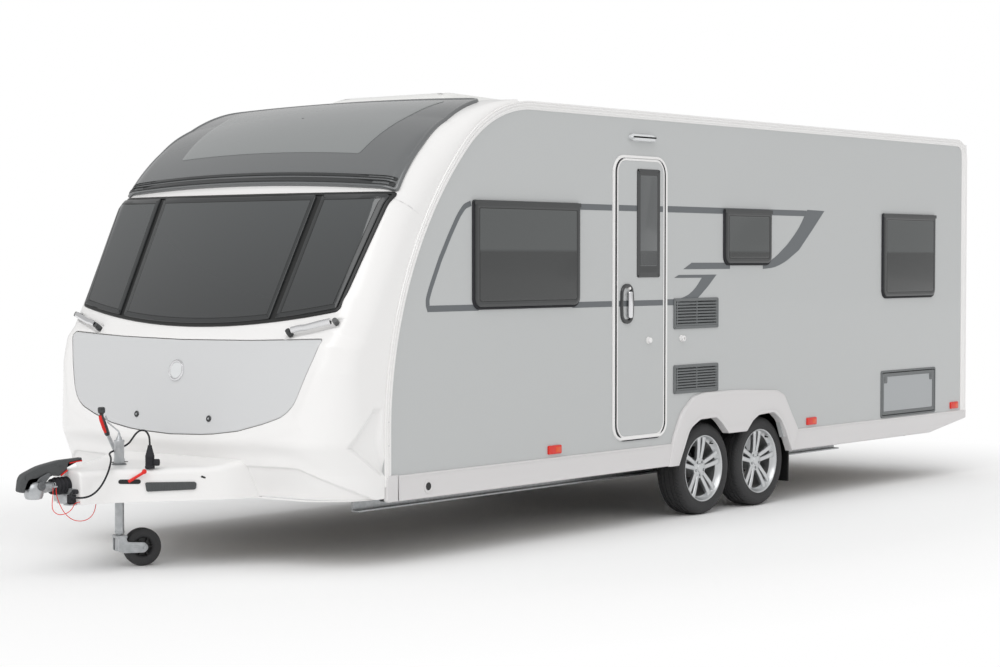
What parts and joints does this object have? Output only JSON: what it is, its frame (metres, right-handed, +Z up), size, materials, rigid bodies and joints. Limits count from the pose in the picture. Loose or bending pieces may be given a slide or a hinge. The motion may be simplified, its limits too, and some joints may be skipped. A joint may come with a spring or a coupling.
{
  "type": "twin-axle travel caravan",
  "caption": "Twin-axle travel caravan with moulded front, side door, hinged lids, jockey wheel, corner steadies and ball coupling.",
  "frame": {"origin": "on the ground, under the middle of the length and width", "axes": "+Z up, -Y is the way it is towed, +X is the side with the entrance door"},
  "size_m": [2.298, 8.0421, 2.5957],
  "materials": {
    "white_moulding": "gloss white moulded plastic and aluminium rail",
    "silver_wall": "silver painted aluminium skin",
    "lid_silver": "light silver gloss moulding",
    "window_glass": "tinted acrylic window, gloss",
    "roof_white": "white roof skin",
    "inner_board": "pale lining board",
    "galvanised": "galvanised steel",
    "black_plastic": "black moulded plastic",
    "grey_plastic": "dark grey moulded plastic",
    "tyre_rubber": "black tyre rubber",
    "alloy": "silver lacquered alloy",
    "chrome": "bright plated",
    "cast_coupling": "cast and zinc plated coupling",
    "red_lens": "red lamp lens",
    "red_cable": "red coated thin cable",
    "rubber": "black rubber"
  },
  "bodies": {
    "caravan": {"axles": "galvanised", "breakaway_cable": "red_cable", "breakaway_clip": "chrome", "breakaway_tail": "red_cable", "cable_plug": "black_plastic", "chassis_frame": "galvanised", "connecting_cable": "rubber", "coupling_gaiter": "rubber", "coupling_head": "cast_coupling", "coupling_lever": "grey_plastic", "door_frame": "white_moulding", "drawbar_cover": "white_moulding", "drawbar_frame": "galvanised", "edge_rails": "white_moulding", "floor": "inner_board", "fridge_vents": "grey_plastic", "front_bulkhead": "inner_board", "front_panel_lower": "white_moulding", "front_panel_upper": "white_moulding", "front_roof_window": "window_glass", "front_windows": "window_glass", "grab_handles": "chrome", "hand_levers": "galvanised", "hatch_frames": "grey_plastic", "jockey_sleeve": "galvanised", "lamps": "red_lens", "rear_bumper": "white_moulding", "rear_wall": "white_moulding", "rear_window": "window_glass", "roof": "roof_white", "rooflight": "roof_white", "side_skirts": "white_moulding", "side_wall_left": "silver_wall", "side_wall_right": "silver_wall", "side_windows_left": "window_glass", "side_windows_right": "window_glass", "wheel_boxes": "black_plastic", "wheel_spats": "white_moulding"},
    "entrance_door": {"entrance_door": "silver_wall", "door_window": "window_glass", "door_handle": "black_plastic"},
    "locker_lid": {"locker_lid": "lid_silver"},
    "service_door": {"service_door": "silver_wall"},
    "cassette_door": {"cassette_door": "lid_silver"},
    "jockey_leg": {"jockey_leg": "galvanised"},
    "jockey_fork": {"jockey_fork": "galvanised"},
    "jockey_wheel": {"jockey_wheel": "grey_plastic"},
    "wheel_front_left": {"tyre_front_left": "tyre_rubber", "rim_front_left": "alloy"},
    "steady_front_left": {"steady_front_left": "galvanised"},
    "wheel_front_right": {"tyre_front_right": "tyre_rubber", "rim_front_right": "alloy"},
    "steady_front_right": {"steady_front_right": "galvanised"},
    "wheel_rear_left": {"tyre_rear_left": "tyre_rubber", "rim_rear_left": "alloy"},
    "steady_rear_left": {"steady_rear_left": "galvanised"},
    "wheel_rear_right": {"tyre_rear_right": "tyre_rubber", "rim_rear_right": "alloy"},
    "steady_rear_right": {"steady_rear_right": "galvanised"}
  },
  "joints": [
    {"name": "door_hinge", "type": "hinge", "parent": "caravan", "child": "entrance_door", "pos_m": [1.136, 0.033, 1.38], "axis": [0, 0, 1], "range_deg": [0, 165]},
    {"name": "lid_hinge", "type": "hinge", "parent": "caravan", "child": "locker_lid", "pos_m": [0, -2.868, 1.198], "axis": [-1, 0, 0], "range_deg": [0, 70]},
    {"name": "service_door_hinge", "type": "hinge", "parent": "caravan", "child": "service_door", "pos_m": [1.128, 3.114, 0.507], "axis": [0, 1, 0], "range_deg": [0, 90]},
    {"name": "cassette_door_hinge", "type": "hinge", "parent": "caravan", "child": "cassette_door", "pos_m": [-1.128, 1.849, 0.775], "axis": [0, 0, 1], "range_deg": [0, 120]},
    {"name": "jockey_slide", "type": "slide", "parent": "caravan", "child": "jockey_leg", "axis": [0, 0, 1], "range_m": [0, 0.15]},
    {"name": "jockey_swivel", "type": "hinge", "parent": "jockey_leg", "child": "jockey_fork", "pos_m": [0, -3.352, 0.2], "axis": [0, 0, 1], "continuous": true},
    {"name": "jockey_roll", "type": "hinge", "parent": "jockey_fork", "child": "jockey_wheel", "pos_m": [0.04488, -3.23748, 0.1], "axis": [0.9311, -0.3649, 0], "continuous": true},
    {"name": "wheel_front_left_roll", "type": "hinge", "parent": "caravan", "child": "wheel_front_left", "pos_m": [0.9875, 0.542, 0.2925], "axis": [1, 0, 0], "continuous": true},
    {"name": "wheel_front_right_roll", "type": "hinge", "parent": "caravan", "child": "wheel_front_right", "pos_m": [-0.9875, 0.542, 0.2925], "axis": [1, 0, 0], "continuous": true},
    {"name": "wheel_rear_left_roll", "type": "hinge", "parent": "caravan", "child": "wheel_rear_left", "pos_m": [0.9875, 1.196, 0.2925], "axis": [1, 0, 0], "continuous": true},
    {"name": "wheel_rear_right_roll", "type": "hinge", "parent": "caravan", "child": "wheel_rear_right", "pos_m": [-0.9875, 1.196, 0.2925], "axis": [1, 0, 0], "continuous": true},
    {"name": "steady_front_left_swing", "type": "hinge", "parent": "caravan", "child": "steady_front_left", "pos_m": [0.755, -1.7, 0.345], "axis": [1, 0, 0], "range_deg": [0, 50]},
    {"name": "steady_front_right_swing", "type": "hinge", "parent": "caravan", "child": "steady_front_right", "pos_m": [-0.755, -1.7, 0.345], "axis": [1, 0, 0], "range_deg": [0, 50]},
    {"name": "steady_rear_left_swing", "type": "hinge", "parent": "caravan", "child": "steady_rear_left", "pos_m": [0.755, 3.25, 0.345], "axis": [-1, 0, 0], "range_deg": [0, 50]},
    {"name": "steady_rear_right_swing", "type": "hinge", "parent": "caravan", "child": "steady_rear_right", "pos_m": [-0.755, 3.25, 0.345], "axis": [-1, 0, 0], "range_deg": [0, 50]}
  ]
}
